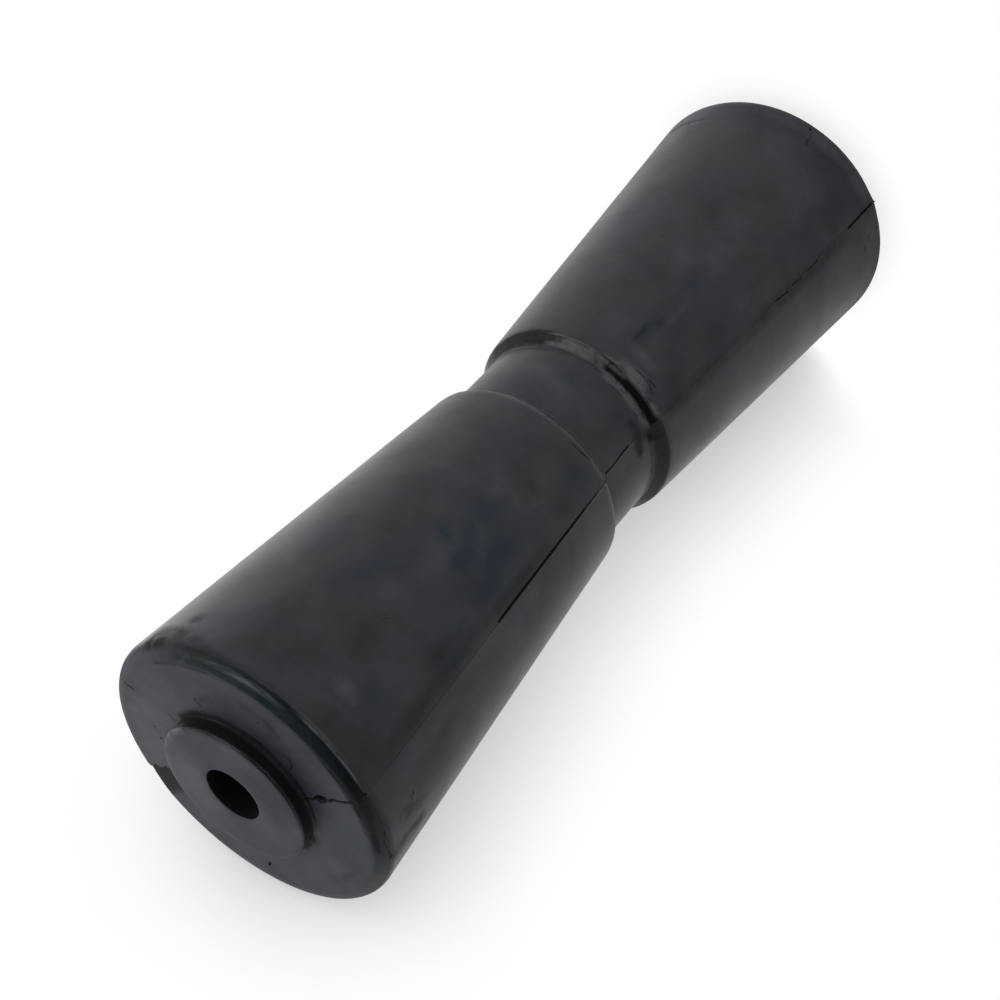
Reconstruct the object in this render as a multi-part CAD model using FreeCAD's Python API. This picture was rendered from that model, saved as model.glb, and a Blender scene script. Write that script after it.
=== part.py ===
"""Keel roller of a boat trailer: one piece of solid black rubber, moulded in a two-part mould.

The roller stands on its lower boss. +Z runs along the spindle hole, and the origin is the middle of the
lower boss's face. The two halves of the mould met in the YZ plane. All sizes are in millimetres.
"""
import FreeCAD, Part
import math
import os

# Whole roller
OVERALL_LENGTH = 300.0       # from boss face to boss face
END_DIAMETER = 90.0          # where a cone's wall and its end face would meet, before the rim is rounded
RIM_RADIUS = 5.0             # rounding of that rim

# Keel seat: the neck in the middle, and the shoulders that keep a keel on it
NECK_DIAMETER = 61.5
NECK_LENGTH = 24.6           # between the feet of the two shoulders
SHOULDER_DIAMETER = 68.0     # small end of each cone
SHOULDER_RUN = 3.1           # length along the roller that a shoulder takes to rise
SHOULDER_FOOT_RADIUS = 1.5   # hollow rounding at the neck
SHOULDER_EDGE_RADIUS = 1.2   # rounding at the top of the shoulder

# Bosses: the faces that rub on the trailer's bracket
BOSS_DIAMETER = 45.6
BOSS_HEIGHT = 4.5
BOSS_CHAMFER = 0.8           # the worn edge of the face that rubs

# Spindle hole
BORE_DIAMETER = 17.0

# Ridge of rubber squeezed out where the halves of the mould met
FLASH_HEIGHT = 0.5
FLASH_WIDTH = 0.7

SHARP = 0.0                  # rounding of a corner that is left sharp
MIDDLE = OVERALL_LENGTH / 2
AXIS_POINT = FreeCAD.Vector(0, 0, 0)
AXIS = FreeCAD.Vector(0, 0, 1)


def lower_outline(growth):
    """Corners of the lower half of the section, from the hole out and up to the neck.

    Each corner is its distance from the axis, its height and its rounding. growth is added to the
    distances outside the boss.
    """
    neck_foot = MIDDLE - NECK_LENGTH / 2
    return [
        (BORE_DIAMETER / 2, 0.0, SHARP),
        (BOSS_DIAMETER / 2 - BOSS_CHAMFER, 0.0, SHARP),
        (BOSS_DIAMETER / 2, BOSS_CHAMFER, SHARP),
        (BOSS_DIAMETER / 2, BOSS_HEIGHT, SHARP),
        (END_DIAMETER / 2 + growth, BOSS_HEIGHT, RIM_RADIUS),
        (SHOULDER_DIAMETER / 2 + growth, neck_foot - SHOULDER_RUN, SHOULDER_EDGE_RADIUS),
        (NECK_DIAMETER / 2 + growth, neck_foot, SHOULDER_FOOT_RADIUS),
    ]


def whole_outline(growth):
    """The lower outline, followed by its mirror image above the middle of the roller."""
    lower = lower_outline(growth)
    upper = [(distance, OVERALL_LENGTH - height, rounding) for distance, height, rounding in reversed(lower)]
    return lower + upper


def corner_points(before, corner, after, rounding):
    """Where the arc that rounds a corner starts, is half way round and ends, tangent to both sides."""
    back = (before - corner).normalize()
    on = (after - corner).normalize()
    half_angle = back.getAngle(on) / 2
    inward = (back + on).normalize()
    setback = rounding / math.tan(half_angle)
    to_middle = rounding / math.sin(half_angle) - rounding
    return corner + back * setback, corner + inward * to_middle, corner + on * setback


def section_face(outline):
    """A flat face in the XZ plane: straight sides, with an arc at each corner that has a rounding."""
    points = [FreeCAD.Vector(distance, 0, height) for distance, height, rounding in outline]
    count = len(points)
    corners = [
        corner_points(points[i - 1], points[i], points[(i + 1) % count], outline[i][2])
        for i in range(count)
    ]
    edges = []
    for i, (start, middle, end) in enumerate(corners):
        if outline[i][2] > SHARP:
            edges.append(Part.Arc(start, middle, end).toShape())
        edges.append(Part.LineSegment(end, corners[(i + 1) % count][0]).toShape())
    return Part.Face(Part.Wire(edges))


def turned(outline):
    """The solid that the outline sweeps round the axis."""
    return section_face(outline).revolve(AXIS_POINT, AXIS, 360)


def parting_flash():
    """The thin ridge that runs down both sides of the roller, from one end face to the other."""
    grown = turned(whole_outline(FLASH_HEIGHT))
    reach = END_DIAMETER / 2 + FLASH_HEIGHT
    corner = FreeCAD.Vector(-FLASH_WIDTH / 2, -reach, BOSS_HEIGHT)
    slab = Part.makeBox(FLASH_WIDTH, 2 * reach, OVERALL_LENGTH - 2 * BOSS_HEIGHT, corner)
    return grown.common(slab)


def keel_roller():
    """The whole moulding: cones, neck, bosses and spindle hole in one, with the flash left on it."""
    body = turned(whole_outline(0.0))
    return body.fuse(parting_flash()).removeSplitter()


def main():
    os.makedirs("parts", exist_ok=True)
    roller = keel_roller()
    roller.Solids[0].exportStep("parts/keel_roller.step")
    print("keel_roller", len(roller.Solids), "solid", round(roller.Volume / 1000, 1), "cm3", roller.isValid())


main()
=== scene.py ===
"""Keel roller of a boat trailer: its looks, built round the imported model.

Lengths named ..._MM are in millimetres, and metres() turns them into the scene's unit.
"""

import math

import bpy
import numpy as np
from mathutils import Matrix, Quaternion, Vector


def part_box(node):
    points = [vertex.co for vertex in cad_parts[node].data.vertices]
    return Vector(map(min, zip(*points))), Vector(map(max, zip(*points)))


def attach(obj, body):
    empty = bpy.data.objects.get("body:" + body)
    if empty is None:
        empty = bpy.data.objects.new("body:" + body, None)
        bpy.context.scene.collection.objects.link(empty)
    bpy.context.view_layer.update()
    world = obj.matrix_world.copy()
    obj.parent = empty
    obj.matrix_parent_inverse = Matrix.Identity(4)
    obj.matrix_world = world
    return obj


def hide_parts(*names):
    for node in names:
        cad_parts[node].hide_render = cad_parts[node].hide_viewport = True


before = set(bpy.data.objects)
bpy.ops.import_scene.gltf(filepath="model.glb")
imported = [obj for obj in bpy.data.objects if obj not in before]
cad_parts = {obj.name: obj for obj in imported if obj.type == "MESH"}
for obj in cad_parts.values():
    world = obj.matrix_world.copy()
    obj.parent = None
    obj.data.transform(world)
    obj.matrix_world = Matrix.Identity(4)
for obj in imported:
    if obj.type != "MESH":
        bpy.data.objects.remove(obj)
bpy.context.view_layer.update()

# The roller's section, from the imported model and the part's own sizes
LENGTH_MM = 1000 * (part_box("keel_roller")[1].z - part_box("keel_roller")[0].z)
MIDDLE_MM = LENGTH_MM / 2
BORE_RADIUS_MM = 8.5
BOSS_RADIUS_MM = 22.8
BOSS_HEIGHT_MM = 4.5
END_RADIUS_MM = 45.0
SHOULDER_RADIUS_MM = 34.0
SHOULDER_RUN_MM = 3.1
NECK_RADIUS_MM = 30.75
HALF_NECK_MM = 12.3
UPPER_END_MM = LENGTH_MM - BOSS_HEIGHT_MM

# Roundings of the section's corners
BORE_ROUNDING_MM = 0.4
BOSS_ROUNDING_MM = 0.8
BOSS_FOOT_MM = 0.6
RIM_ROUNDING_MM = 5.0
SHOULDER_ROUNDING_MM = 1.2
SHOULDER_FOOT_MM = 1.5
SMOOTH_ANGLE = math.radians(50)
TOUCH_MM = 0.01

# A place outside the first radius is on an end face or the wall, and one outside the second is at a rim or on
# the wall near it. The rims lie within RIM_ZONE_MM of the roller's ends
OUTSIDE_BOSS_MM = BOSS_RADIUS_MM + 1
RIM_START_MM = END_RADIUS_MM - RIM_ROUNDING_MM - 1
RIM_ZONE_MM = 10

# New points between the steps of the spin are made round where they are off by less than this, and a mark's
# path has a point about every PATH_STEP degrees
MOST_OFF_ROUND_MM = 0.1
PATH_STEP = 3

# Steps of the spin, in degrees and in number. The mould's halves met at x = 0, so the parting lines run down
# the front and the back
LINE_ZONE = 1.2
LINE_STEPS = 7
PARTING_ZONE = 12
PARTING_STEPS = 10
FLANK_STEPS = 48

# Parting lines: the wall stands a little proud there, with a torn lip of flash on its crest. Part of the lip
# is even and the rest ragged, and between some heights it is worn off
CROWN_MM = 0.33
LIP_MM = 0.16
LIP_WIDTH_MM = 0.35
LIP_EVEN = 0.6
LIP_RAG_STEP = 0.8
LIP_WORN = 0.92
LIP_WORN_MM = [(78, 126), (238, 286)]
LIP_WORN_FADE_MM = 8

# Marks cut into the wall: name, width, depth, and a path of (height, turn in degrees from the front line)
WALL_MARKS = [
    ("torn_line_near_cone", 0.75, 0.55, [(165, 0.55), (190, 0.5), (222, 0.5), (228, 0.35)]),
    ("faint_line_near_cone", 0.35, 0.05, [(228, 0.35), (284, 0.2)]),
    ("torn_line_neck", 0.6, 0.3, [(148, 0.7), (152, 0.4), (157, -0.3), (161, -0.3)]),
    ("torn_line_far_rim", 0.7, 0.6, [(6.5, 0.4), (10, 0.6), (16, 0.5), (25, 0.1)]),
    ("dash_far_cone", 0.45, 0.2, [(45, 0), (51, -0.2)]),
    ("dash_far_cone", 0.45, 0.2, [(55, -0.5), (60, 0.3)]),
    ("dash_far_cone", 0.45, 0.2, [(63, -0.4), (70, 0.6)]),
    ("crescent", 0.45, 0.08, [(292.4, -17), (293.2, -21.5), (292.8, -26), (291.8, -31)]),
    ("crescent_end", 1.0, 0.1, [(292, -31)]),
    ("scratch_far_shoulder", 0.35, 0.15, [(131, 28), (130.6, 22), (131.1, 17), (131.9, 13)]),
    ("scratch_far_shoulder", 0.35, 0.12, [(130, 20), (129.6, 14)]),
    ("scratch_near_shoulder", 0.4, 0.15, [(167.6, 26), (167.2, 20), (166.4, 15)]),
    ("nick_top", 0.8, 0.3, [(9.5, 43.2), (10, 42.6)]),
    ("nick_line", 0.35, 0.08, [(9.5, 43), (12.4, 40.6), (15, 40.4)]),
    ("nick_foot", 1.2, 0.06, [(14.8, 40.8), (16.2, 39.6)]),
]

# Folds that were pressed in when the roller was moulded, written in the same way; their skin is whole
WALL_FOLDS = [
    ("crease_far_rim", 3, 0.25, [(17.6, 110), (17.2, 104), (18.2, 99)]),
    ("crease_end", 2.6, 0.12, [(18.2, 99), (18.6, 95), (18.9, 91)]),
]

# Marks cut into the upper end face: name, width, depth, and a path of (radius, turn)
END_MARKS = [
    ("tear", 0.9, 0.7, [(23.2, -5), (26, -4.2), (28.5, -3), (31, -0.8), (32, -2.7), (34.3, -1.2)]),
    ("tear_end", 0.75, 0.6, [(34.3, -1.2), (37.3, -1.6), (42, -0.9)]),
    ("tear_hole", 2.4, 1.3, [(27.2, -4), (30, -2.2)]),
    ("curl", 0.45, 0.3, [(27, 27.5), (28.6, 25), (28, 20.5), (24.4, 17)]),
    ("crack", 0.35, 0.15, [(42.5, 129.5), (40, 128.6), (37, 128)]),
    ("hair", 0.35, 0.12, [(26.5, 83), (28.2, 86), (29.3, 85)]),
    ("hair", 0.3, 0.08, [(26.6, 123), (24, 124)]),
    ("pit", 0.75, 0.5, [(35, -112.5), (33.7, -111.4)]),
    ("pit", 0.6, 0.3, [(32.6, 45)]),
    ("pit", 0.6, 0.3, [(30, 147)]),
    ("pit", 0.7, 0.35, [(28.4, 154.7)]),
    ("pit", 0.6, 0.3, [(38.8, -101)]),
    ("pit", 0.6, 0.3, [(24.5, 76)]),
]

# Small crumbs of rubber that stand proud of the wall
CRUMBS = [
    ("far_rim_spike", 0.9, 0.45, [(6.4, 0.3), (7.4, 0.1)]),
    ("far_rim_crumb", 0.7, 0.3, [(12.5, -1.4), (13.6, -1.8)]),
    ("far_rim_crumb", 0.5, 0.25, [(9.5, -1.8)]),
    ("cone_crumb", 0.7, 0.3, [(237, 8.4)]),
    ("cone_crumb", 0.5, 0.2, [(244.2, 10.4), (245.6, 10.4)]),
    ("cone_crumb", 0.5, 0.2, [(261.4, 14)]),
    ("cone_crumb", 0.5, 0.2, [(239.6, -2.4)]),
    ("star", 0.4, 0.2, [(254, 34), (256, 36)]),
    ("star", 0.4, 0.2, [(256, 34.2), (254.2, 35.6)]),
    ("star_near_rim", 0.5, 0.15, [(278.6, -17.8), (280.6, -16.4)]),
    ("star_near_rim", 0.5, 0.15, [(280.4, -18.2), (278.8, -16.2)]),
    ("far_cone_crumb", 0.6, 0.3, [(68.2, 43.5)]),
    ("far_cone_crumb", 0.6, 0.25, [(81, 63), (82.2, 63)]),
    ("far_cone_crumb", 0.5, 0.2, [(100, 33.3)]),
    ("foot_crumb", 1.1, 0.4, [(137.3, 31.3)]),
    ("foot_crumb", 0.8, 0.3, [(137.6, 27), (137.5, 24)]),
    ("foot_crumb", 0.7, 0.3, [(137.4, 12), (137.6, 9.5)]),
    ("shoulder_crumb", 0.7, 0.3, [(134.2, 0.5)]),
]

# Scuffs, which only dull the skin, and on the end face painted shade round the boss: name, width, strength,
# and a path as for the marks
WALL_SCUFFS = [
    ("blotch_neck", 5.5, 0.85, [(143, 8), (142.6, 4), (143, 0), (144, -8)]),
    ("hook_below_neck", 3, 0.8, [(137.8, -2.5), (138, -8)]),
    ("hook_below_neck", 3, 0.6, [(139.6, -2), (139.8, -5)]),
    ("dull_band_far_cone", 6.5, 0.26, [(26, -1.8), (60, -2.2), (130, -1.5)]),
    ("dull_band_near_cone", 4, 0.3, [(205, 4), (232, 5), (262, 4.5)]),
    ("streak_far_rim", 1.6, 0.5, [(15.2, -11), (18, -15)]),
    ("dark_slash", 3.6, 0.6, [(122, 39), (117, 37), (111.5, 35.3)]),
    ("crescent_end", 2.4, 0.5, [(292, -31)]),
    ("dull_rim", 3, 0.7, [(294.6, -4), (294.7, -14), (294.7, -26)]),
    ("dull_rim", 3, 0.8, [(293.9, -5), (294.1, -9)]),
    ("rim_streak", 1.4, 0.5, [(294.3, 70), (293.3, 58)]),
    ("rim_streak", 1.2, 0.5, [(295.0, 64), (294.3, 50)]),
    ("rim_streak", 1.0, 0.45, [(293.2, 52), (294.2, 40)]),
    ("rim_streak", 1.4, 0.5, [(294.6, 38), (293.6, 27)]),
    ("dull_near_rim", 5, 0.35, [(285, -19), (276, -25)]),
    ("dull_near_rim", 7, 0.5, [(290, -31), (278, -33)]),
    ("smudge_near_rim", 8, 0.6, [(288.6, 101), (289, 88), (291.4, 74)]),
    ("smudge_near_rim", 6, 0.9, [(292.2, 101), (291.6, 94)]),
    ("smudge_near_rim", 5, 0.45, [(282, 90), (282, 86)]),
]
# On the upper end face: a ring of painted shade round the boss's foot, and other darker places
END_SCUFFS_AND_SHADE = [
    ("shade_round_boss", 2.8, 0.9, [
        (23.4, 112), (23.7, 92), (23.8, 72), (23.6, 50), (23.9, 30), (23.5, 12),
    ]),
    ("shade_round_boss", 2.2, 0.8, [(23.2, 12), (23.2, -20), (23.3, -50), (23.6, -68)]),
    ("dark_inside_rim", 1.2, 0.5, [(40.4, 98), (40.6, 84), (40.8, 70)]),
    ("dark_inside_rim", 1.8, 0.85, [(41.5, 24), (41.7, 4), (41.5, -12)]),
    ("dark_on_end_face", 3, 0.3, [(29, 82), (31, 74)]),
    ("dark_on_end_face", 3, 0.25, [(35, 55), (36, 44), (34, 36)]),
    ("dark_on_end_face", 3, 0.25, [(37, -48), (36, -60)]),
]

# A mark at least this deep is torn all through the skin. How ragged the sides of marks are, how soft those of
# tears and scuffs are, and how close to the hole's wall the bare rubber shows
WHOLLY_TORN_MM = 0.12
MARK_RAG = 0.2
TORN_SOFT = 1.6
SCUFF_SOFT = 1.5
BORE_TORN_MM = 0.05

# Flat that a knife left where it trimmed the flash off the back of the upper rim: the turn where it starts,
# its span, its depth, and the jags of its start, each with its size in degrees and how fast it waves
CUT_START = 179.3
CUT_SPAN = 15
CUT_DEPTH_MM = 0.6
CUT_JAGS = [(0.5, 1.3), (0.2, 4.1)]
CUT_FROM_BOSS_MM = 0.5

# Slow waves of the moulded skin, and the lumps and tears that loading boats left on the shoulders
WAVE_SIZE_MM = 26
WAVE_MM = 0.22
RIPPLE_SIZE_MM = 6
RIPPLE_MM = 0.07
LUMP_SIZE_MM = 2.6
LUMP_MM = 0.4
LUMP_REACH_MM = 1.2
SOFT_CONTRAST = 0.6

# Edges near a mark are cut in steps: within this reach of it, none is left longer than this
FINE_CUTS_MM = [(2.2, 1.4), (1.4, 0.9), (1.0, 0.5), (0.6, 0.28)]

# The shoulders are cut in the same way, at these heights and between these turns
SHOULDER_CUTS_MM = [(0.6, 1.3), (0.4, 0.9)]
SHOULDER_HEIGHTS_MM = (136.15, 163.85)
SHOULDER_TURNS = (-30, 120)

# Edges of the wall with pale lines, partly rubbed by boats and partly painted highlights: height, half width,
# and the turns between which they are
PALE_EDGES_AND_HIGHLIGHTS = [
    (165.4, 0.4, -180, 180),
    (134.5, 0.3, 50, 74),
    (134.3, 0.7, 5, 30),
    (137.3, 0.3, 2, 40),
    (136.8, 0.45, 52, 74),
    (135.8, 0.4, 54, 64),
    (132.4, 1.0, 22, 33),
    (135.3, 0.3, 33, 44),
    (138.0, 0.45, 4, 36),
    (134.2, 0.3, 37, 42),
    (292.6, 0.2, 6, 30),
]
EDGE_SOFT = 1.6
EDGE_FADE = 6

# The upper boss's edge has a pale line too, partly rubbed and partly a painted highlight: half width, and the
# turns between which it is
BOSS_EDGE = (0.42, 104, 172)

# Where the bloom is rubbed off the lower shoulder: how far past it, and how far below the neck's foot the
# bloom starts again and over what length
SHOULDER_RUB_MM = 0.3
FOOT_RUB_MM = 0.8
FOOT_FADE_MM = 0.6

# Where it is rubbed off the rims: how far the bloom reaches onto their rounding from the wall and from the
# end face, the length over which it ends, and the radius that parts the end face from the rim
RIM_BLOOM_MM = 2
END_BLOOM_MM = 1.6
END_FADE_MM = 0.8
RIM_INNER_MM = 30

# Near the tear it reaches less far, by this length, between two turns and with a fade in degrees
TEAR_RUB_MM = 1.4
TEAR_RUB = (-14, 8, 8)

# Where it is rubbed off the bosses: from close to the edge of the face to just past the foot, and in the hole
BOSS_FACE_RUB_MM = 0.2
BOSS_FOOT_RUB_MM = 1.2
BORE_RUB_MM = 0.1

# The upper rim is rubbed black between these turns. Its bloom comes back slowly on both sides of them, from
# this far outside the boss
RUB_START = -26
RUB_END = 68
RUB_FADE = 34
RUB_FROM_BOSS_MM = 2

# Rubber: its colours
BLOOM_GREY = "#35323a"
# The pale grey is also the colour of painted highlights and reflections, and of painted light on the upper
# end face
PALE_BLOOM_AND_HIGHLIGHT = "#4a474f"
BLOOM_BLUE = "#062033"
BLOOM_BROWN = "#241a1d"
# The violet is also the colour of painted shade on the upper end face and round its boss
VIOLET_BLOOM_AND_SHADE = "#110f15"
RUBBED_BLACK = "#121416"
# The teal of a painted highlight on the upper rim
RIM_TEAL = "#1f2c31"
# The pale grey of the edges, both rubbed pale and painted highlights
WORN_AND_HIGHLIGHT_GREY = "#5c5a5f"
CUT_GREY = "#2c2c2c"
TORN_BLACK = "#050506"

# Tints that the noises give the bloom: which noise, its values where the tint starts and where it is fullest,
# the most that there is of it, and its colour
BLOOM_TINTS = [
    ("clouds", 0.5, 0.75, 0.6, BLOOM_BLUE),
    ("wisps", 0.5, 0.75, 0.6, VIOLET_BLOOM_AND_SHADE),
    ("wisps", 0.45, 0.25, 0.5, PALE_BLOOM_AND_HIGHLIGHT),
]

# Tints of the painted stains and of the painted light and shade among them, in the order in which they lie on
# each other
STAIN_TINTS = [("pale", PALE_BLOOM_AND_HIGHLIGHT), ("brown", BLOOM_BROWN), ("violet", VIOLET_BLOOM_AND_SHADE), ("blue", BLOOM_BLUE)]

# Sizes of the clouds, of the wisps, and of the noises that break up what is painted. A ..._RANGE holds the
# values between which a noise takes effect
CLOUD_SIZE_MM = 28
WISP_SIZE_MM = 15
STAIN_EDGE_MM = 6
STAIN_RANGE = (0.03, 0.5)
SCUFF_RANGE = (0.2, 0.6)
FRAY_SIZE_MM = 3
FRAY = 0.5
FRAY_RANGE = (0.3, 0.7)
WORN_AND_HIGHLIGHT_RANGE = (0.25, 0.5)

# Fine grain of the steel mould
GRAIN_SIZE_MM = 0.8
GRAIN_DEPTH_MM = 0.03
GRAIN_STRENGTH = 0.25

# Gloss: the bloom's varies a little with the wisps
BLOOM_ROUGHNESS = 0.32
SHEEN_SPREAD = 0.03
SHEEN_RANGE = (0.3, 0.7)
END_ROUGHNESS = 0.42
RUBBED_ROUGHNESS = 0.24
WORN_AND_HIGHLIGHT_ROUGHNESS = 0.45
TORN_ROUGHNESS = 0.95
RUBBER_IOR = 1.42

# Stains and painted light and shade have soft edges, and those of the end face reach a little way down from
# it
STAIN_SOFT = 1.25
END_PAINT_REACH_MM = 1

# Stains, with painted highlights and reflections among the pale ones: height, turn, half length along the
# roller, half width round it, strength
# Some are painted reflections and highlights: those 13 to 33 high at turns of -14 to -40 stand for the bright
# floor mirrored there, those at turns of 102 to 105 and the one 131.6 high beside the lower shoulder are
# painted highlights
PALE_STAINS_AND_REFLECTIONS = [
    (278.5, 28, 3, 4, 1.0),
    (230, 37, 9, 5, 0.5),
    (249, 40, 9, 7, 0.4),
    (200, 37, 6, 2.5, 0.6),
    (212, -5, 8, 3, 0.4),
    (226, -9.6, 6, 4, 0.3),
    (105, 31, 7, 1.6, 0.4),
    (126, 28, 3, 6, 0.8),
    (131.6, 27, 2.5, 6, 1.0),
    (76, 35, 8, 8, 0.3),
    (147, 69, 4, 6, 0.4),
    (33, -18, 14, 9, 0.9),
    (30, -40, 14, 5, 1.0),
    (33, 26, 10, 7, 0.45),
    (83, 11, 7, 5, 0.35),
    (64, 39, 7, 6, 0.35),
    (13, -14, 7, 10, 1.0),
    (17, -32, 10, 10, 1.0),
    (11, 32, 3.5, 11, 0.9),
    (11, 10, 3.5, 9, 0.8),
    (11, 55, 3.5, 10, 0.5),
    (58, 102, 30, 7, 1.0),
    (27, 105, 10, 8, 1.0),
    (20, -38, 12, 6, 1.0),
]
BLUE_STAINS = [
    (207, 34, 7, 6, 0.9),
    (216, 19, 12, 6, 0.8),
    (224, 13, 9, 4, 0.9),
    (238, 46, 8, 6, 0.6),
    (251, 55, 8, 6, 0.5),
    (241, 10.5, 8, 3.5, 0.6),
    (275, 21.5, 5, 4, 0.6),
    (182, 48, 10, 8, 0.4),
    (175, 12, 6, 6, 0.7),
    (114.7, 37, 9, 2.6, 1.0),
    (91, 36.6, 9, 4, 0.6),
    (53, 58, 10, 9, 0.4),
    (146, 51, 3.5, 5, 0.6),
    (145, 18, 3, 5, 0.7),
    (246, 51, 8, 5, 0.8),
    (217, 35, 6, 4, 0.9),
    (223.6, 29, 7, 5, 1.0),
    (222, 40, 6, 5, 0.8),
    (231, 44, 6, 5, 0.6),
    (242, 77, 10, 8, 0.4),
    (248, 6.5, 8, 3, 0.6),
    (84, 82, 14, 8, 0.45),
]
BROWN_STAINS = [
    (289, 26, 5, 7, 0.9),
    (287, 10, 6, 8, 0.8),
    (261, -12, 8, 4, 0.9),
    (265, 45, 8, 8, 0.5),
    (72, 14.5, 8, 5, 0.3),
    (96, 49, 8, 6, 0.5),
    (100, 10, 7, 4.5, 0.5),
    (123, 8, 5, 5, 0.8),
    (211, 68, 8, 6, 0.4),
]
VIOLET_STAINS = [
    (251.5, 11, 7, 4, 0.9),
    (268, 4.6, 12, 3.5, 0.8),
    (191, 27, 6, 5, 0.7),
    (278, 47, 8, 8, 0.4),
    (196, 56, 6, 6, 0.3),
    (234, -9, 6, 4, 0.4),
    (248, -7, 5, 3, 0.5),
    (68, 52, 8, 6, 0.35),
    (107, 58, 9, 7, 0.35),
    (107, 18, 5, 4, 0.2),
    (60, -1.5, 36, 3.2, 1.0),
    (108, -0.5, 24, 3.4, 0.8),
    (126, 1, 8, 4, 0.7),
    (215, 4, 20, 3, 0.7),
    (246, 5, 20, 3.6, 0.9),
    (270, -20, 16, 9, 0.6),
    (226, -20, 40, 5, 0.3),
    (150, -14, 11, 8, 0.5),
    (267, 62, 18, 8, 0.5),
    (228, 58, 14, 6, 0.45),
    (243, 73, 14, 5, 0.4),
    (188, 37, 7, 6, 0.45),
    (186, 10, 8, 5, 0.45),
    (143, -3, 5, 4, 1.0),
    (137.2, -7, 2, 3, 0.8),
]
# Painted teal highlights on the upper rim's rounding, written in the same way as the stains
TEAL_PAINTED_HIGHLIGHTS = [
    (294.4, 48, 2.4, 28, 0.8),
    (294, 20, 2, 10, 0.3),
]
STAINS_AND_PAINTED_LIGHT = {"pale": PALE_STAINS_AND_REFLECTIONS, "blue": BLUE_STAINS, "brown": BROWN_STAINS, "violet": VIOLET_STAINS,
          "teal": TEAL_PAINTED_HIGHLIGHTS}

# Painted light and shade of the upper end face: radius, turn, half length outwards, half width round it,
# strength
# Painted light: the end face and the boss face are lighter round a turn of about 150 degrees, where more
# light falls
END_PAINTED_LIGHT = [
    (33, 150, 12, 24, 0.9),
    (25, -165, 4, 12, 0.6),
    (33, -150, 6, 8, 0.5),
    (29, 110, 6, 10, 0.4),
    (15, 165, 10, 16, 0.9),
]
# Painted shade: the end face and the boss face darker round a turn of about 30 degrees, a dark ring of shade
# round the boss's foot, and a few smaller dark patches
END_PAINTED_SHADE = [
    (33, 32, 14, 24, 0.4),
    (34, 2, 7, 4, 0.3),
    (33, 62, 6, 5, 0.5),
    (34, -40, 9, 12, 0.3),
    (38, 20, 4, 10, 0.5),
    (23.4, 12, 1.7, 7, 1.0),
    (23.5, 42, 1.7, 8, 1.0),
    (23.5, 72, 1.7, 9, 1.0),
    (23.4, 100, 1.8, 6, 1.0),
    (23.4, -50, 2.6, 4, 0.8),
    (15, 5, 8, 13, 0.65),
]
END_PAINTED_LIGHT_AND_SHADE = {"pale": END_PAINTED_LIGHT, "violet": END_PAINTED_SHADE}

# Camera: it looks down on the standing roller, and is turned so that the upper end comes at the lower left
CAMERA_PLACE_MM = (229.55, -361.8, 480.96)
CAMERA_TARGET_MM = (-5.69, 10.31, 166.45)
CAMERA_TURN = math.radians(-137.38)
LENS_MM = 63.92

# Stage
FLOOR_SIZE_MM = 6000
BOARD_WHITE = "#e6e6e6"
BACKDROP_FACING = (0.8699, -0.4933, 0)
BACKDROP_GAP_MM = 44.7
BACKDROP_SHADOW_MM = 46
FLOOR_SHADOW_MM = 12
SHADOW_SAMPLES = 16
SHADOW_END = 0.97
BACKDROP_SHADOW_LIGHT = 0.45
FLOOR_SHADOW_LIGHT = 0.78

# Studio: walls with a dark ceiling on the camera's side, and softboxes, each with its place,
# target, width, height, power, and whether the roller mirrors it
WALL_LIGHT = 0.5
WALL_COOL_WHITE = "#f5fefd"
DARK_SIDE = (0.251, -0.397, 0.883)
DARK_SIDE_LIGHT = 0.02
DARK_SIDE_EDGE = 0.50
DARK_SIDE_CORE = 0.72
SOFTBOXES = [
    ("ceiling_softbox", (0, 0, 1600), (0, 0, 0), 1200, 1200, 7, False),
    ("floor_softbox", (150, 800, 600), (60, 380, 0), 400, 400, 5.4, False),
    ("key_softbox", (955, -30, 1235), (0, 0, 150), 1050, 500, 4, True),
    ("low_softbox", (514, -1390, 420), (0, 0, 200), 900, 200, 1.2, True),
]


def metres(*sizes):
    """Millimetres as metres: one number, or a vector of three."""
    scaled = [size / 1000 for size in sizes]
    return scaled[0] if len(scaled) == 1 else Vector(scaled)


def linear(hex_colour):
    """A colour written as sRGB hex, as the linear colour with alpha that the nodes take."""
    shares = [int(hex_colour[i:i + 2], 16) / 255 for i in (1, 3, 5)]
    return [s / 12.92 if s <= 0.04045 else ((s + 0.055) / 1.055) ** 2.4 for s in shares] + [1.0]


def add_node(tree, kind, settings=None, links=None):
    """Adds a node. Settings are its properties, and links its inputs, each a value or a node's output."""
    node = tree.nodes.new(kind)
    for name, value in (settings or {}).items():
        setattr(node, name, value)
    for name, value in (links or {}).items():
        if isinstance(value, bpy.types.NodeSocket):
            tree.links.new(value, node.inputs[name])
        else:
            node.inputs[name].default_value = value
    return node


def new_material(name):
    """A material with an empty node tree and its output node."""
    material = bpy.data.materials.new(name)
    material.use_nodes = True
    tree = material.node_tree
    tree.nodes.clear()
    return material, tree, add_node(tree, "ShaderNodeOutputMaterial")


def only(is_chosen):
    """In edit mode, selects only the vertices for which is_chosen(place in millimetres) holds."""
    roller = bpy.context.edit_object
    bpy.ops.mesh.select_all(action="DESELECT")
    bpy.ops.object.mode_set(mode="OBJECT")
    for vertex in roller.data.vertices:
        vertex.select = is_chosen(vertex.co * 1000)
    bpy.ops.object.mode_set(mode="EDIT")


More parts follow.
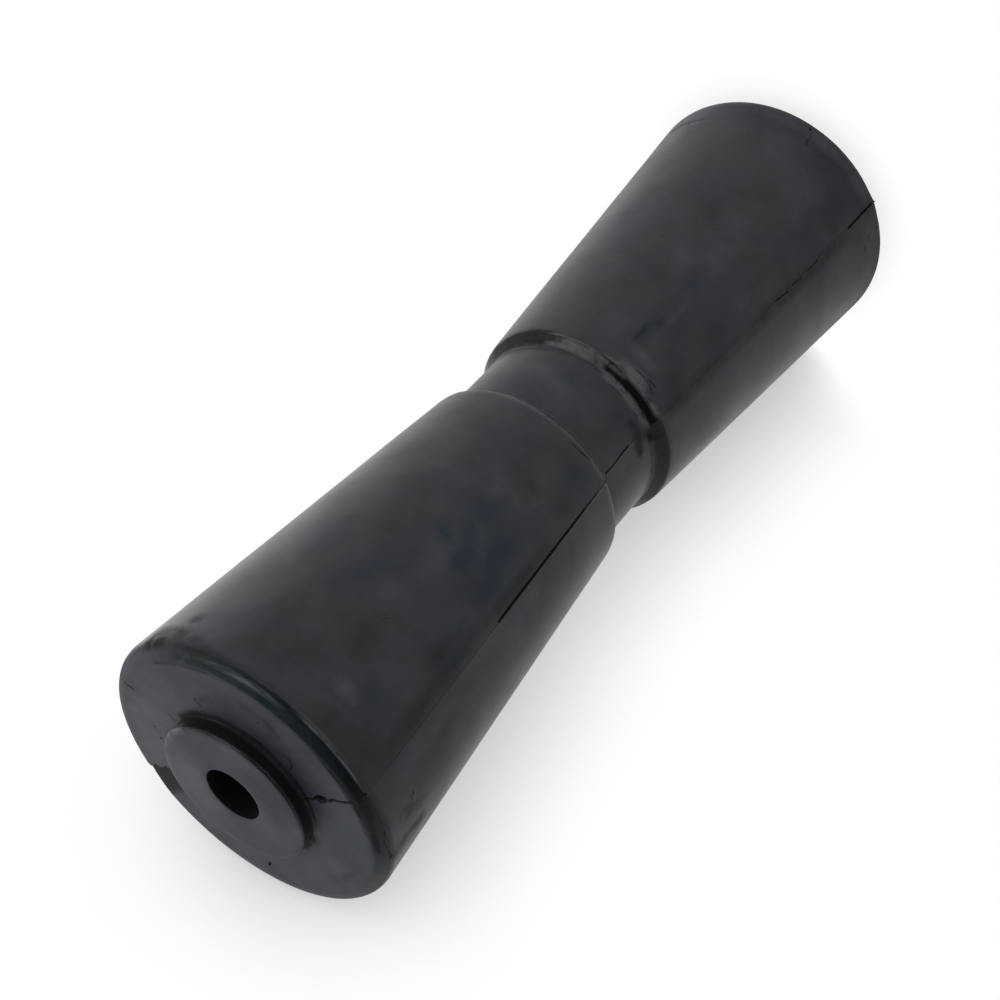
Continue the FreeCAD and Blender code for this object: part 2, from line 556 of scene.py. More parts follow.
def section_corners():
    """Corners of the lower half of the section, from the hole out and up to the neck.

    Each is its radius, its height, its rounding, the steps in that, and the cuts in the stretch that leads
    to it.
    """
    return [
        (BORE_RADIUS_MM, 0, BORE_ROUNDING_MM, 4, 3),
        (BOSS_RADIUS_MM, 0, BOSS_ROUNDING_MM, 5, 6),
        (BOSS_RADIUS_MM, BOSS_HEIGHT_MM, BOSS_FOOT_MM, 4, 3),
        (END_RADIUS_MM, BOSS_HEIGHT_MM, RIM_ROUNDING_MM, 16, 17),
        (SHOULDER_RADIUS_MM, MIDDLE_MM - HALF_NECK_MM - SHOULDER_RUN_MM, SHOULDER_ROUNDING_MM, 7, 88),
        (NECK_RADIUS_MM, MIDDLE_MM - HALF_NECK_MM, SHOULDER_FOOT_MM, 7, 3),
        (NECK_RADIUS_MM, MIDDLE_MM, 0, 1, 8),
    ]


def draw_section():
    """Draws the corners as a line of points in the XZ plane, and rounds them."""
    bpy.ops.object.select_all(action="DESELECT")
    bpy.ops.mesh.primitive_plane_add(size=metres(1))
    roller = bpy.context.object
    roller.name = "roller"
    bpy.ops.object.mode_set(mode="EDIT")
    bpy.ops.mesh.select_mode(type="VERT")
    bpy.ops.mesh.merge(type="CENTER")
    start = Vector((BORE_RADIUS_MM, 0, MIDDLE_MM))
    bpy.ops.transform.translate(value=start / 1000)
    route = [start] + [Vector((radius, 0, height)) for radius, height, *_ in section_corners()]
    for here, there in zip(route, route[1:]):
        bpy.ops.mesh.extrude_vertices_move(TRANSFORM_OT_translate={"value": (there - here) / 1000})
    for i, (_, _, rounding, steps, _) in enumerate(section_corners()):
        if rounding:
            back, corner, on = route[i:i + 3]
            half_angle = (back - corner).angle(on - corner) / 2
            only(lambda p: (p - corner).length < TOUCH_MM)
            setback = metres(rounding) / math.tan(half_angle)
            bpy.ops.mesh.bevel(affect="VERTICES", offset_type="OFFSET", offset=setback, segments=steps)
    return roller, route


def cut_stretches(route):
    """Cuts the section's straight stretches into short lengths."""
    for (*_, cuts), here, there in zip(section_corners(), route, route[1:]):
        only(lambda p: on_stretch(p, here, there))
        bpy.ops.mesh.subdivide(number_cuts=cuts)


def on_stretch(point, here, there):
    """Does the point lie on the straight line between two corners, away from them?"""
    along = (there - here).normalized()
    share = (point - here).dot(along)
    off = (point - here - along * share).length
    return off < TOUCH_MM and -TOUCH_MM < share < (there - here).length + TOUCH_MM


def mirror_section():
    """Adds the upper half of the section, the mirror image of the lower one."""
    bpy.ops.mesh.select_all(action="SELECT")
    bpy.ops.mesh.duplicate()
    bpy.ops.transform.resize(value=(1, 1, -1), center_override=metres(0, 0, MIDDLE_MM))
    bpy.ops.mesh.select_all(action="SELECT")
    bpy.ops.mesh.remove_doubles(threshold=metres(TOUCH_MM))


def turn_section():
    """Spins the section round the hole, in steps that are shorter near the parting lines."""
    flank = 180 - 2 * PARTING_ZONE
    beside = PARTING_ZONE - LINE_ZONE
    crossing = [(beside, PARTING_STEPS), (2 * LINE_ZONE, 2 * LINE_STEPS), (beside, PARTING_STEPS)]
    half_flank = [(flank / 2, FLANK_STEPS // 2)]
    bpy.ops.mesh.select_all(action="SELECT")
    for angle, steps in half_flank + crossing + 2 * half_flank + crossing + half_flank:
        bpy.ops.mesh.spin(steps=steps, angle=math.radians(angle), center=(0, 0, 0), axis=(0, 0, 1))
    bpy.ops.mesh.select_all(action="SELECT")
    bpy.ops.mesh.remove_doubles(threshold=metres(TOUCH_MM))
    bpy.ops.mesh.select_all(action="SELECT")
    bpy.ops.mesh.normals_make_consistent(inside=False)


def places_of(roller):
    """The places of the mesh's vertices, in millimetres, one row each."""
    flat = np.empty(3 * len(roller.data.vertices), dtype=np.float32)
    roller.data.vertices.foreach_get("co", flat)
    return flat.reshape(-1, 3).astype(float) * 1000


def radius_of(places):
    """How far each place is from the middle of the hole."""
    return np.hypot(places[:, 0], places[:, 1])


def turn_of(places):
    """How far round each place is from the front parting line, in degrees, towards +X."""
    return np.degrees(np.arctan2(places[:, 0], -places[:, 1]))


def wall_profile(roller):
    """Heights and radii of the wall between the end faces, from the bottom up, as the section has them."""
    places = places_of(roller)
    radius, from_middle = radius_of(places), abs(places[:, 2] - MIDDLE_MM)
    rims = places[radius > RIM_START_MM]
    wall = places[(radius > OUTSIDE_BOSS_MM) & (from_middle < MIDDLE_MM - RIM_ZONE_MM)]
    both = np.unique(np.round(np.vstack([rims, wall]), 4), axis=0)
    order = np.argsort(both[:, 2], kind="stable")
    return both[order, 2], radius_of(both[order])


def place_at(radius, turn, height):
    """The place in space at a radius, a turn and a height."""
    angle = math.radians(turn)
    return np.array([radius * math.sin(angle), -radius * math.cos(angle), height])


def wall_path(points, profile):
    """A mark's path on the wall, in space, with a point every few degrees so that it follows the round."""
    path = []
    for (h0, t0), (h1, t1) in zip(points, points[1:] or points):
        steps = max(1, int(abs(t1 - t0) / PATH_STEP))
        for share in np.linspace(0, 1, steps + 1):
            height = h0 + (h1 - h0) * share
            path.append(place_at(np.interp(height, *profile), t0 + (t1 - t0) * share, height))
    return path


def end_path(points):
    """A mark's path on the upper end face, in space."""
    return [place_at(radius, turn, UPPER_END_MM) for radius, turn in points]


def distance_to(places, path):
    """Distance of each place from a path of straight runs. A path of one point is a spot."""
    nearest = np.full(len(places), np.inf)
    for here, there in zip(path, path[1:] or path):
        run = there - here
        share = np.clip((places - here) @ run / max(run @ run, TOUCH_MM ** 2), 0, 1)
        nearest = np.minimum(nearest, np.linalg.norm(places - here - share[:, None] * run, axis=1))
    return nearest


def ragged(places):
    """A fine unevenness from -1 to 1 that breaks up an edge, the same on every run."""
    x, y, z = places.T
    return np.sin(2.3 * x + 1.1 * z) * np.sin(1.9 * y - 2.7 * z + 1) * 0.6 + np.sin(5.1 * z + 3.7 * x) * 0.4


def mark_off(places, width, path):
    """Distance from a mark's middle as a share of its half width, uneven so that its sides are ragged."""
    return distance_to(places, path) / (width / 2) + MARK_RAG * ragged(places)


def all_marks(profile):
    """Every mark as its width, its height (below zero where it is cut in) and its path in space."""
    marks = [(width, -depth, wall_path(points, profile)) for _, width, depth, points in WALL_MARKS]
    marks += [(width, -depth, end_path(points)) for _, width, depth, points in END_MARKS]
    marks += [(width, height, wall_path(points, profile)) for _, width, height, points in CRUMBS]
    return marks


def all_folds(profile):
    """The folds, as all_marks gives the marks."""
    return [(width, -depth, wall_path(points, profile)) for _, width, depth, points in WALL_FOLDS]


def shoulder_paths(profile):
    """The stretch of both shoulders that keels rub, as two paths as wide as a shoulder."""
    return [
        (SHOULDER_RUN_MM, 0, wall_path([(height, turn) for turn in SHOULDER_TURNS], profile))
        for height in SHOULDER_HEIGHTS_MM
    ]


def refine(roller, marks, cuts):
    """Halves the long edges near the marks, and the nearer they are the shorter they end."""
    bpy.ops.mesh.select_mode(type="EDGE")
    for reach, longest in cuts:
        bpy.ops.mesh.select_all(action="DESELECT")
        bpy.ops.object.mode_set(mode="OBJECT")
        edges = roller.data.edges
        ends = np.empty(2 * len(edges), dtype=np.int32)
        edges.foreach_get("vertices", ends)
        first, second = places_of(roller)[ends.reshape(-1, 2).T]
        long = np.nonzero(np.linalg.norm(second - first, axis=1) > longest)[0]
        centres = ((first + second) / 2)[long]
        near = np.zeros(len(long), dtype=bool)
        for width, _, path in marks:
            near |= distance_to(centres, path) < reach + width / 2
        chosen = np.zeros(len(edges), dtype=bool)
        chosen[long[near]] = True
        edges.foreach_set("select", chosen)
        bpy.ops.object.mode_set(mode="EDIT")
        bpy.ops.mesh.subdivide(number_cuts=1)
    bpy.ops.mesh.select_mode(type="VERT")


def is_wall(places):
    """Is the place on the wall, from the middle of one rim's rounding to the other's?"""
    low = BOSS_HEIGHT_MM + RIM_ROUNDING_MM / 2
    inside = (places[:, 2] > low) & (places[:, 2] < LENGTH_MM - low)
    return inside & (radius_of(places) > OUTSIDE_BOSS_MM)


def from_shoulder(places):
    """How far above or below the nearer shoulder each place of the wall is."""
    from_middle = abs(abs(places[:, 2] - MIDDLE_MM) - HALF_NECK_MM - SHOULDER_RUN_MM / 2)
    off = np.maximum(from_middle - SHOULDER_RUN_MM / 2, 0)
    return np.where(radius_of(places) > OUTSIDE_BOSS_MM, off, np.inf)


def from_line(places):
    """How far round each place is from the nearer parting line, in degrees."""
    turn = abs(turn_of(places))
    return np.minimum(turn, 180 - turn)


def knife_cut(places):
    """Depth of the knife's flat: a sharp, ragged start, from which it rises gently until it runs out."""
    radius = radius_of(places)
    start = CUT_START + sum(size * np.sin(rate * radius) for size, rate in CUT_JAGS)
    share = (turn_of(places) % 360 - start) / CUT_SPAN
    reached = (share > 0) & (share < 1) & (radius > BOSS_RADIUS_MM + CUT_FROM_BOSS_MM)
    reached &= places[:, 2] > UPPER_END_MM - RIM_ROUNDING_MM
    return np.where(reached, CUT_DEPTH_MM * (1 - share), 0)


def relief(places, marks, profile):
    """How far each place moves along its normal, in millimetres: out where above zero, in where below."""
    off_round = np.interp(places[:, 2], *profile) - radius_of(places)
    height = np.where(is_wall(places) & (abs(off_round) < MOST_OFF_ROUND_MM), off_round, 0)
    aside = from_line(places)
    height += np.where(is_wall(places), CROWN_MM * np.clip(1 - aside / PARTING_ZONE, 0, 1) ** 2, 0)
    lip = np.clip(1 - aside * np.radians(radius_of(places)) / LIP_WIDTH_MM, 0, 1)
    lip *= LIP_EVEN + (1 - LIP_EVEN) * ragged(places * [0, 0, LIP_RAG_STEP])
    for start, end in LIP_WORN_MM:
        lip *= 1 - LIP_WORN * between(places[:, 2], start, end, LIP_WORN_FADE_MM)
    height += np.where(is_wall(places), LIP_MM * lip, 0)
    for width, depth, path in marks:
        height += depth * np.clip(1 - mark_off(places, width, path) ** 2, 0, 1)
    return height - knife_cut(places)


def move_along_normals(roller, height):
    """Moves the vertices out or in by their own heights: one group and one Displace modifier each way."""
    most = abs(height).max()
    for name, sign in (("raised", 1), ("sunk", -1)):
        group = roller.vertex_groups.new(name=name)
        for index in np.nonzero(sign * height > TOUCH_MM / 10)[0]:
            group.add([int(index)], abs(height[index]) / most, "REPLACE")
        displace = roller.modifiers.new(name, "DISPLACE")
        displace.vertex_group = name
        displace.mid_level = 0
        displace.strength = sign * metres(most)
        bpy.ops.object.modifier_apply(modifier=name)
        roller.vertex_groups.remove(roller.vertex_groups[name])


def keep_group(roller, name, shares):
    """A vertex group in which each vertex has its own share."""
    group = roller.vertex_groups.new(name=name)
    for index in np.nonzero(shares > 0)[0]:
        group.add([int(index)], float(shares[index]), "REPLACE")


def wave(roller, group, name, size, depth):
    """Presses soft waves or lumps into the part of the skin that is in a group."""
    clouds = bpy.data.textures.new(name, "CLOUDS")
    clouds.noise_scale = metres(size)
    clouds.noise_depth = 1
    clouds.contrast = SOFT_CONTRAST
    clouds.use_clamp = False
    displace = roller.modifiers.new(name, "DISPLACE")
    displace.texture = clouds
    displace.texture_coords = "LOCAL"
    displace.mid_level = 1
    displace.strength = metres(depth)
    displace.vertex_group = group
    bpy.ops.object.modifier_apply(modifier=name)


def make_roller():
    """The whole moulding, with what the mould, the knife and years of use left on it, and painted light and
    shade.
    """
    roller, route = draw_section()
    cut_stretches(route)
    mirror_section()
    bpy.ops.object.mode_set(mode="OBJECT")
    profile = wall_profile(roller)
    bpy.ops.object.mode_set(mode="EDIT")
    turn_section()
    marks = all_marks(profile)
    folds = all_folds(profile)
    refine(roller, marks + folds, FINE_CUTS_MM)
    refine(roller, shoulder_paths(profile), SHOULDER_CUTS_MM)
    bpy.ops.object.mode_set(mode="OBJECT")
    places = places_of(roller)
    keep_group(roller, "skin", np.where(radius_of(places) > OUTSIDE_BOSS_MM, 1.0, 0.0))
    keep_group(roller, "shoulders", np.clip(1 - from_shoulder(places) / LUMP_REACH_MM, 0, 1))
    paint_wear_and_light(roller, places, marks, profile)
    move_along_normals(roller, relief(places, marks + folds, profile))
    wave(roller, "skin", "slow_waves", WAVE_SIZE_MM, WAVE_MM)
    wave(roller, "skin", "ripples", RIPPLE_SIZE_MM, RIPPLE_MM)
    wave(roller, "shoulders", "lumps", LUMP_SIZE_MM, LUMP_MM)
    roller.vertex_groups.clear()
    bpy.ops.object.shade_smooth_by_angle(angle=SMOOTH_ANGLE)
    return roller


def paint(roller, name, shares):
    """Keeps a share from 0 to 1 on each vertex, for the material to read."""
    attribute = roller.data.attributes.new(name, "FLOAT", "POINT")
    attribute.data.foreach_set("value", np.clip(shares, 0, 1).astype(np.float32))


def paint_wear_and_light(roller, places, marks, profile):
    """Paints what years of use left on the skin, and the painted light and shade among it, each kind under
    its own name.
    """
    paint(roller, "torn", torn_share(places, marks))
    paint(roller, "bloom", bloom_share(places))
    paint(roller, "scuffed_and_shaded", scuffed_and_shaded_share(places, profile))
    paint(roller, "cut", np.where(knife_cut(places) > 0, 1.0, 0.0))
    paint(roller, "worn_and_highlight", worn_and_highlight_share(places))
    paint(roller, "end", np.where(is_wall(places), 0.0, 1.0))
    for name, stains in STAINS_AND_PAINTED_LIGHT.items():
        paint(roller, name, stain_and_light_share(places, stains, END_PAINTED_LIGHT_AND_SHADE.get(name, []), profile))


def torn_share(places, marks):
    """Where the skin is torn and the bare rubber shows, as in the hole. Shallow marks only dull the skin."""
    share = np.zeros(len(places))
    for width, depth, path in marks:
        if depth < 0:
            bare = np.clip(TORN_SOFT * (1 - mark_off(places, width, path)), 0, 1)
            share = np.maximum(share, bare * min(1, -depth / WHOLLY_TORN_MM))
    return np.where(radius_of(places) < BORE_RADIUS_MM + BORE_TORN_MM, 1, share)


def bloom_share(places):
    """Where the dull bloom lies: all over the broad faces, but rubbed off the roundings and bosses."""
    radius, height, turn = radius_of(places), places[:, 2], turn_of(places)
    from_end = np.minimum(height, LENGTH_MM - height)
    above_foot = height - MIDDLE_MM + HALF_NECK_MM
    wall = np.clip(from_shoulder(places) - SHOULDER_RUB_MM, 0, 1)
    wall = np.maximum(wall, np.clip((above_foot + FOOT_RUB_MM) / FOOT_FADE_MM, 0, 1))
    rim = np.clip((from_end - BOSS_HEIGHT_MM - RIM_ROUNDING_MM + RIM_BLOOM_MM) / END_FADE_MM, 0, 1)
    inner = END_RADIUS_MM - RIM_ROUNDING_MM + END_BLOOM_MM - TEAR_RUB_MM * between(turn, *TEAR_RUB)
    end = np.clip((inner - radius) / END_FADE_MM, 0, 1)
    off_boss = radius - BOSS_RADIUS_MM
    is_rubbed = (off_boss > -BOSS_FACE_RUB_MM) & (off_boss < BOSS_FOOT_RUB_MM)
    end = np.where(is_rubbed | (radius < BORE_RADIUS_MM + BORE_RUB_MM), 0, end)
    end = np.where(radius > RIM_INNER_MM, np.maximum(end, rim), end)
    share = np.where(from_end > BOSS_HEIGHT_MM + RIM_ROUNDING_MM, wall, end)
    on_upper_rim = (off_boss > RUB_FROM_BOSS_MM) & (height > UPPER_END_MM - 2 * RIM_ROUNDING_MM)
    unrubbed = 1 - between(turn, RUB_START, RUB_END, RUB_FADE)
    return np.where(on_upper_rim, np.maximum(share, unrubbed), share)


def scuffed_and_shaded_share(places, profile):
    """Where the skin is dulled, softly towards the sides of each scuff, and where shade is painted round the
    upper boss.
    """
    scuffs = [(width, strength, wall_path(points, profile)) for _, width, strength, points in WALL_SCUFFS]
    scuffs += [(width, strength, end_path(points)) for _, width, strength, points in END_SCUFFS_AND_SHADE]
    share = np.zeros(len(places))
    for width, strength, path in scuffs:
        dulled = np.clip(SCUFF_SOFT * (1 - distance_to(places, path) / (width / 2)), 0, 1)
        share = np.maximum(share, strength * dulled)
    return share


def between(value, start, end, fade):
    """1 between start and end, falling to 0 over fade on both sides."""
    return np.clip((value - start) / fade + 1, 0, 1) * np.clip((end - value) / fade + 1, 0, 1)


def worn_and_highlight_share(places):
    """Where the edges are pale, partly rubbed and partly painted highlights: on the shoulders, the rim and
    the boss.
    """
    radius, height, turn = radius_of(places), places[:, 2], turn_of(places)
    share = np.zeros(len(places))
    for edge, half_width, start, end in PALE_EDGES_AND_HIGHLIGHTS:
        line = np.clip(EDGE_SOFT - abs(height - edge) / half_width, 0, 1)
        share = np.maximum(share, line * between(turn, start, end, EDGE_FADE))
    half_width, start, end = BOSS_EDGE
    off_edge = abs(radius - BOSS_RADIUS_MM + BOSS_ROUNDING_MM / 2)
    line = np.clip(EDGE_SOFT - off_edge / half_width, 0, 1) * between(turn % 360, start, end, EDGE_FADE)
    return np.where(height > LENGTH_MM - BOSS_HEIGHT_MM / 2, line, share)


def spot_share(places, along, spots):
    """Soft-edged spots. along is how far up or out each place is, and each spot starts with the same."""
    share = np.zeros(len(places))
    for middle, radius, turn, half_length, half_width, strength in spots:
        round_by = np.radians((turn_of(places) - turn + 180) % 360 - 180) * radius
        off = np.hypot((along - middle) / half_length, round_by / half_width)
        share = np.maximum(share, strength * np.clip(STAIN_SOFT - off, 0, 1))
    return share


def stain_and_light_share(places, wall_stains_and_highlights, end_light_and_shade, profile):
    """The stains of one colour on the wall, with painted highlights among them, and that colour's painted
    light and shade on the upper end face.
    """
    wall_spots = [(height, np.interp(height, *profile), *rest) for height, *rest in wall_stains_and_highlights]
    end_spots = [(radius, radius, *rest) for radius, *rest in end_light_and_shade]
    wall = spot_share(places, places[:, 2], wall_spots)
    end = spot_share(places, radius_of(places), end_spots)
    wall = np.where(radius_of(places) > OUTSIDE_BOSS_MM, wall, 0)
    return np.maximum(wall, np.where(places[:, 2] > UPPER_END_MM - END_PAINT_REACH_MM, end, 0))


def noise_at(tree, place, size, detail, distortion=0.0, shift=0.0):
    """Soft noise whose patches are about size millimetres across."""
    moved = add_node(tree, "ShaderNodeMapping", links={"Vector": place, "Location": (shift, shift, shift)})
    return add_node(tree, "ShaderNodeTexNoise", links={
        "Vector": moved.outputs[0], "Scale": 1 / metres(size), "Detail": detail, "Distortion": distortion,
    }).outputs[0]


def stained(tree, name, noise):
    """Where a stain or painted light lies, with an edge that the noise breaks up."""
    painted = add_node(tree, "ShaderNodeAttribute", {"attribute_name": name})
    broken = add_node(tree, "ShaderNodeMath", {"operation": "MULTIPLY"}, {
        0: painted.outputs["Fac"], 1: noise,
    })
    low, high = STAIN_RANGE
    return add_node(tree, "ShaderNodeMapRange", links={
        "Value": broken.outputs[0], "From Min": low, "From Max": high,
    }).outputs[0]


def frayed(tree, name, noise):
    """A painted share whose edge the noise frays."""
    painted = add_node(tree, "ShaderNodeAttribute", {"attribute_name": name})
    low, high = FRAY_RANGE
    off = add_node(tree, "ShaderNodeMapRange", links={
        "Value": noise, "From Min": low, "From Max": high, "To Min": -FRAY / 2, "To Max": FRAY / 2,
    })
    moved = add_node(tree, "ShaderNodeMath", {"operation": "ADD"}, {
        0: painted.outputs["Fac"], 1: off.outputs[0],
    })
    return add_node(tree, "ShaderNodeMapRange", links={
        "Value": moved.outputs[0], "From Min": low, "From Max": high,
    }).outputs[0]


def thinned(tree, name, noise, low, high):
    """A painted share that the noise thins: to nothing where it is below low, and not at all above high."""
    painted = add_node(tree, "ShaderNodeAttribute", {"attribute_name": name})
    kept = add_node(tree, "ShaderNodeMapRange", links={"Value": noise, "From Min": low, "From Max": high})
    return add_node(tree, "ShaderNodeMath", {"operation": "MULTIPLY"}, {
        0: painted.outputs["Fac"], 1: kept.outputs[0],
    }).outputs[0]


def bloom_colour(tree, noises, edge):
    """The bloom's grey, tinted by the noises and by the painted stains, among which are painted highlights,
    reflections and shade.
    """
    tints = []
    for name, low, high, most, tint in BLOOM_TINTS:
        share = add_node(tree, "ShaderNodeMapRange", links={
            "Value": noises[name], "From Min": low, "From Max": high, "To Max": most,
        })
        tints.append((share.outputs[0], tint))
    tints += [(stained(tree, name, edge), tint) for name, tint in STAIN_TINTS]
    colour = linear(BLOOM_GREY)
    for share, tint in tints:
        mix = add_node(tree, "ShaderNodeMix", {"data_type": "RGBA"}, {0: share, 6: colour, 7: linear(tint)})
        colour = mix.outputs[2]
    return colour


def bloom_roughness(tree, wisps):
    """The bloom's satin on the wall, a little uneven, and its duller one on the end faces."""
    low, high = SHEEN_RANGE
    wall = add_node(tree, "ShaderNodeMapRange", links={
        "Value": wisps, "From Min": low, "From Max": high,
        "To Min": BLOOM_ROUGHNESS - SHEEN_SPREAD, "To Max": BLOOM_ROUGHNESS + SHEEN_SPREAD,
    })
    is_end = add_node(tree, "ShaderNodeAttribute", {"attribute_name": "end"})
    return add_node(tree, "ShaderNodeMix", {"data_type": "FLOAT"}, {
        0: is_end.outputs["Fac"], 2: wall.outputs[0], 3: END_ROUGHNESS,
    }).outputs[0]


def moulded_black_rubber():
    """Natural rubber filled with carbon black, straight from a steel mould.

    Its satin skin has a dull bloom with bluish and brownish clouds. Edges are rubbed black, and cuts are
    matt. Painted highlights and reflections lie on some edges, the upper rim and the lower wall, and painted
    light and shade on the upper end face.
    """
    material, tree, output = new_material("moulded_black_rubber")
    place = add_node(tree, "ShaderNodeTexCoord").outputs["Object"]
    clouds = noise_at(tree, place, CLOUD_SIZE_MM, detail=4, distortion=0.6)
    wisps = noise_at(tree, place, WISP_SIZE_MM, detail=5, distortion=0.4, shift=0.37)
    edge = noise_at(tree, place, STAIN_EDGE_MM, detail=4, distortion=0.5, shift=0.71)
    fine = noise_at(tree, place, FRAY_SIZE_MM, detail=4, distortion=0.4, shift=0.53)
    # The rubbed black, with a painted teal highlight on the upper rim
    rubbed = add_node(tree, "ShaderNodeMix", {"data_type": "RGBA"}, {
        0: stained(tree, "teal", edge), 6: linear(RUBBED_BLACK), 7: linear(RIM_TEAL),
    })
    bloom = bloom_colour(tree, {"clouds": clouds, "wisps": wisps}, edge)
    cut = add_node(tree, "ShaderNodeAttribute", {"attribute_name": "cut"})
    torn = add_node(tree, "ShaderNodeAttribute", {"attribute_name": "torn"})
    layers = [
        (frayed(tree, "bloom", fine), bloom, bloom_roughness(tree, wisps)),
        # Pale edges: partly rubbed pale, partly painted highlights
        (thinned(tree, "worn_and_highlight", fine, *WORN_AND_HIGHLIGHT_RANGE), linear(WORN_AND_HIGHLIGHT_GREY), WORN_AND_HIGHLIGHT_ROUGHNESS),
        # Scuffs dull and darken the skin; round the upper boss the darkening is painted shade
        (thinned(tree, "scuffed_and_shaded", edge, *SCUFF_RANGE), linear(VIOLET_BLOOM_AND_SHADE), TORN_ROUGHNESS),
        (cut.outputs["Fac"], linear(CUT_GREY), TORN_ROUGHNESS),
        (torn.outputs["Fac"], linear(TORN_BLACK), TORN_ROUGHNESS),
    ]
    colour, roughness = rubbed.outputs[2], RUBBED_ROUGHNESS
    for share, tint, gloss in layers:
        colour = add_node(tree, "ShaderNodeMix", {"data_type": "RGBA"}, {
            0: share, 6: colour, 7: tint,
        }).outputs[2]
        roughness = add_node(tree, "ShaderNodeMix", {"data_type": "FLOAT"}, {
            0: share, 2: roughness, 3: gloss,
        }).outputs[0]
    skin = add_node(tree, "ShaderNodeBump", links={
        "Height": noise_at(tree, place, GRAIN_SIZE_MM, detail=3),
        "Strength": GRAIN_STRENGTH, "Distance": metres(GRAIN_DEPTH_MM),
    })
    surface = add_node(tree, "ShaderNodeBsdfPrincipled", links={
        "Base Color": colour, "Roughness": roughness, "IOR": RUBBER_IOR, "Normal": skin.outputs[0],
    })
    tree.links.new(surface.outputs["BSDF"], output.inputs["Surface"])
    return material


def shaded_board(tree, reach, shadow_light):
    """Matt white board. The camera sees it plain white, with a soft grey shadow where the roller is close."""
    board = add_node(tree, "ShaderNodeBsdfDiffuse", links={"Color": linear(BOARD_WHITE)})
    openness = add_node(tree, "ShaderNodeAmbientOcclusion", {"samples": SHADOW_SAMPLES}, {"Distance": reach})
    level = add_node(tree, "ShaderNodeMapRange", {"interpolation_type": "SMOOTHSTEP"}, {
        "Value": openness.outputs["AO"], "From Min": 0.0, "From Max": SHADOW_END,
        "To Min": shadow_light, "To Max": 1.0,
    })
    white = add_node(tree, "ShaderNodeEmission", links={"Strength": level.outputs[0]})
    path = add_node(tree, "ShaderNodeLightPath")
    return add_node(tree, "ShaderNodeMixShader", links={
        0: path.outputs["Is Camera Ray"], 1: board.outputs[0], 2: white.outputs[0],
    }).outputs[0]


def floor_board():
    """The floor's white board."""
    material, tree, output = new_material("floor_board")
    board = shaded_board(tree, metres(FLOOR_SHADOW_MM), FLOOR_SHADOW_LIGHT)
    tree.links.new(board, output.inputs["Surface"])
    return material


def backdrop_board():
    """The backdrop's white board, clear from behind.

    Its shadow reaches no further than its height above the floor, so that the boards don't shade each other.
    """
    material, tree, output = new_material("backdrop_board")
    place = add_node(tree, "ShaderNodeNewGeometry")
    height = add_node(tree, "ShaderNodeSeparateXYZ", links={0: place.outputs["Position"]})
    reach = add_node(tree, "ShaderNodeMath", {"operation": "MINIMUM"}, {
        0: height.outputs["Z"], 1: metres(BACKDROP_SHADOW_MM),
    })
    above = add_node(tree, "ShaderNodeMath", {"operation": "MAXIMUM"}, {
        0: reach.outputs[0], 1: metres(TOUCH_MM),
    })
    board = shaded_board(tree, above.outputs[0], BACKDROP_SHADOW_LIGHT)
    clear = add_node(tree, "ShaderNodeBsdfTransparent")
    one_sided = add_node(tree, "ShaderNodeMixShader", links={
        0: place.outputs["Backfacing"], 1: board, 2: clear.outputs[0],
    })
    tree.links.new(one_sided.outputs[0], output.inputs["Surface"])
    return material


def make_floor():
    """The floor that the roller stands on."""
    bpy.ops.mesh.primitive_plane_add(size=metres(FLOOR_SIZE_MM))
    floor = bpy.context.object
    floor.name = "floor"
    floor.data.materials.append(floor_board())


def make_backdrop():
    """An upright white board that touches both rims of the roller, on the side away from the camera.

    The camera alone sees it, and only from the front, so it hides nothing in the other views.
    """
    facing = Vector(BACKDROP_FACING)
    bpy.ops.mesh.primitive_plane_add(size=metres(FLOOR_SIZE_MM))
    backdrop = bpy.context.object
    backdrop.name = "backdrop"
    backdrop.rotation_mode = "QUATERNION"
    backdrop.rotation_quaternion = facing.to_track_quat("Z", "Y")
    backdrop.location = facing * -metres(BACKDROP_GAP_MM)
    backdrop.data.materials.append(backdrop_board())
    for kind in ("diffuse", "glossy", "transmission", "volume_scatter", "shadow"):
        setattr(backdrop, "visible_" + kind, False)


def softbox(name, place, target, width, height, power, is_mirrored):
    """An oblong lamp at a place, facing a target."""
    lamp = bpy.data.lights.new(name, "AREA")
    lamp.shape = "RECTANGLE"
    lamp.size = metres(width)
    lamp.size_y = metres(height)
    lamp.energy = power
    holder = bpy.data.objects.new(name, lamp)
    bpy.context.collection.objects.link(holder)
    holder.location = metres(*place)
    holder.rotation_mode = "QUATERNION"
    holder.rotation_quaternion = (metres(*target) - holder.location).to_track_quat("-Z", "Y")
    holder.visible_camera = False
    holder.visible_glossy = is_mirrored


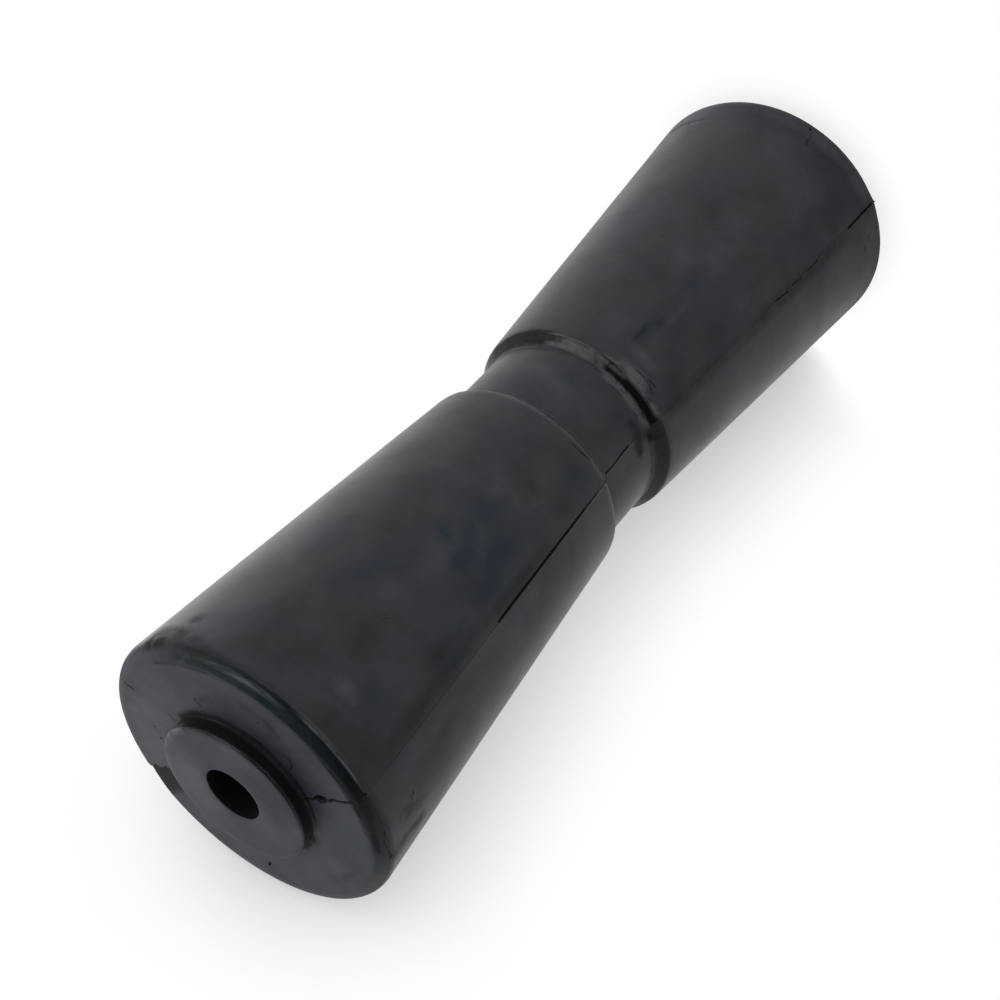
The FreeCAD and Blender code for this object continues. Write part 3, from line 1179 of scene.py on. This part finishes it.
def make_studio():
    """White walls all round, with a dark ceiling on the camera's side, and the softboxes."""
    world = bpy.data.worlds.new("studio")
    bpy.context.scene.world = world
    world.use_nodes = True
    tree = world.node_tree
    tree.nodes.clear()
    output = add_node(tree, "ShaderNodeOutputWorld")
    place = add_node(tree, "ShaderNodeTexCoord")
    facing = add_node(tree, "ShaderNodeVectorMath", {"operation": "DOT_PRODUCT"}, {
        0: place.outputs["Generated"], 1: Vector(DARK_SIDE).normalized(),
    })
    dark = add_node(tree, "ShaderNodeMapRange", {"interpolation_type": "SMOOTHSTEP"}, {
        "Value": facing.outputs["Value"], "From Min": DARK_SIDE_EDGE, "From Max": DARK_SIDE_CORE,
        "To Min": WALL_LIGHT, "To Max": DARK_SIDE_LIGHT,
    })
    path = add_node(tree, "ShaderNodeLightPath")
    level = add_node(tree, "ShaderNodeMix", {"data_type": "FLOAT"}, {
        0: path.outputs["Is Camera Ray"], 2: dark.outputs[0], 3: 1.0,
    })
    colour = add_node(tree, "ShaderNodeMix", {"data_type": "RGBA"}, {
        0: path.outputs["Is Camera Ray"], 6: linear(WALL_COOL_WHITE), 7: linear("#ffffff"),
    })
    white = add_node(tree, "ShaderNodeBackground", links={
        "Color": colour.outputs[2], "Strength": level.outputs[0],
    })
    tree.links.new(white.outputs[0], output.inputs["Surface"])
    for lamp in SOFTBOXES:
        softbox(*lamp)


def make_camera():
    """The camera, at the photograph's angle to the roller."""
    camera = bpy.data.objects.new("camera", bpy.data.cameras.new("camera"))
    bpy.context.collection.objects.link(camera)
    camera.data.lens = LENS_MM
    camera.location = metres(*CAMERA_PLACE_MM)
    aim = (metres(*CAMERA_TARGET_MM) - camera.location).to_track_quat("-Z", "Y")
    camera.rotation_mode = "QUATERNION"
    camera.rotation_quaternion = aim @ Quaternion((0, 0, 1), CAMERA_TURN)
    bpy.context.scene.camera = camera


roller = make_roller()
roller.data.materials.append(moulded_black_rubber())
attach(roller, "root")
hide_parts("keel_roller")

make_floor()
make_backdrop()
make_studio()
make_camera()
bpy.context.scene.view_settings.view_transform = "Standard"
